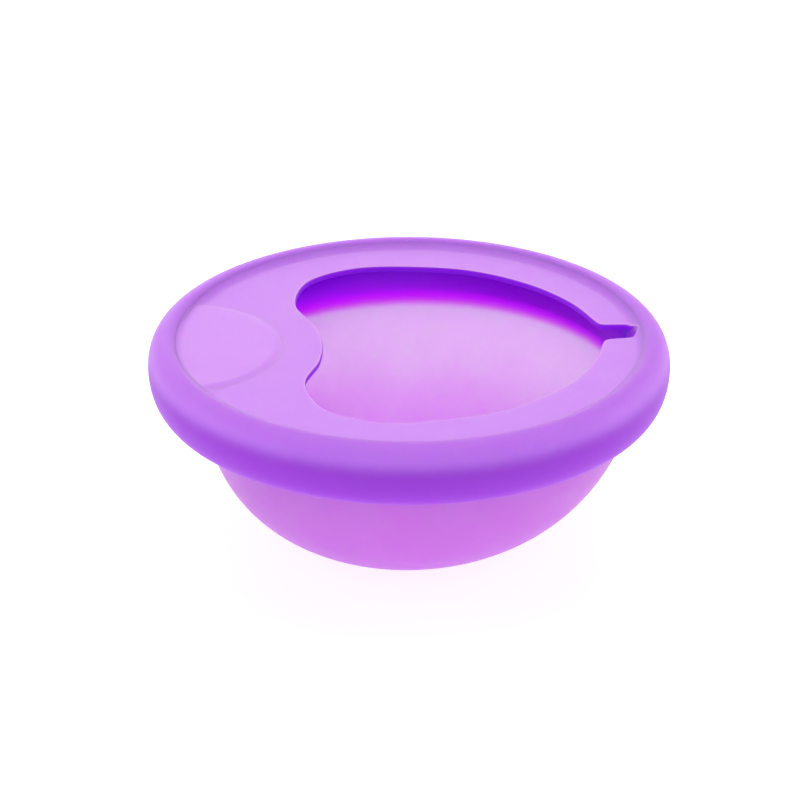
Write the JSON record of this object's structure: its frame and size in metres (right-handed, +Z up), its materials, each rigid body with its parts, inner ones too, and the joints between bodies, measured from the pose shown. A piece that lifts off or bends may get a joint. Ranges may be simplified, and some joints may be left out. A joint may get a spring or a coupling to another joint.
{
  "type": "menstrual disc",
  "caption": "Round silicone collection disc: a firm oval rim, a thin hanging bowl, a flat inner flange with a leaf-shaped opening and slit, and a raised finger pad.",
  "frame": {"origin": "on the surface that the disc stands on, under the centre of the rim", "axes": "+Z up, along the rim's axis, out of the mouth; +X from the finger pad to the slit; the disc is the same on both sides of the XZ plane"},
  "size_m": [0.076, 0.076, 0.0322],
  "materials": {
    "thick_silicone": "soft matt violet silicone, thick and saturated",
    "flange_silicone": "soft matt translucent violet silicone",
    "pad_silicone": "soft matt translucent violet silicone, slightly paler",
    "thin_silicone": "frosted translucent lilac silicone, thin"
  },
  "bodies": {
    "ring": {"rim": "thick_silicone", "flange": "flange_silicone", "finger_pad": "pad_silicone"},
    "bowl": {"bowl": "thin_silicone"}
  },
  "joints": [
    {"name": "bowl_collapse", "type": "slide", "parent": "ring", "child": "bowl", "axis": [0, 0, 1], "range_m": [0, 0.023], "stiffness_N_per_m": 150, "deforming": ["bowl"]}
  ]
}
